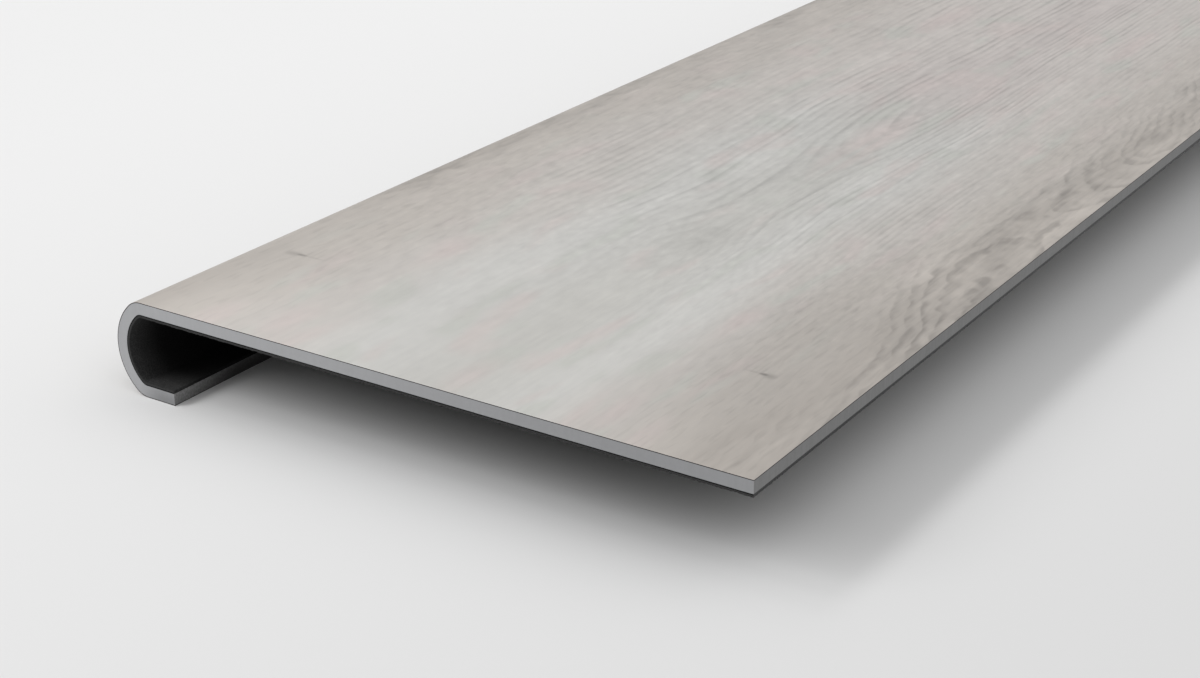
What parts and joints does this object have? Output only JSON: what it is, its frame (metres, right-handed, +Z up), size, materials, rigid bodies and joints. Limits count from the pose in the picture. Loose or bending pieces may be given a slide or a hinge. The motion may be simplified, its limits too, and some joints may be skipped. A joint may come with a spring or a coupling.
{
  "type": "stair tread",
  "caption": "Full-depth stair tread of laminated wood-look vinyl plank: printed film, rigid core and foam underlay, rolled under at the front into a bullnose with a short lip.",
  "frame": {"origin": "middle of the tread's footprint, at floor level under the lip", "axes": "+X along the step, -Y towards the rolled nose, +Z up out of the printed face"},
  "size_m": [1.2, 0.3, 0.0425],
  "materials": {
    "decor_film": "satin",
    "rigid_core": "matte",
    "foam_underlay": "matte"
  },
  "bodies": {
    "root": {"decor_film": "decor_film", "rigid_core": "rigid_core", "foam_underlay": "foam_underlay"}
  },
  "joints": []
}
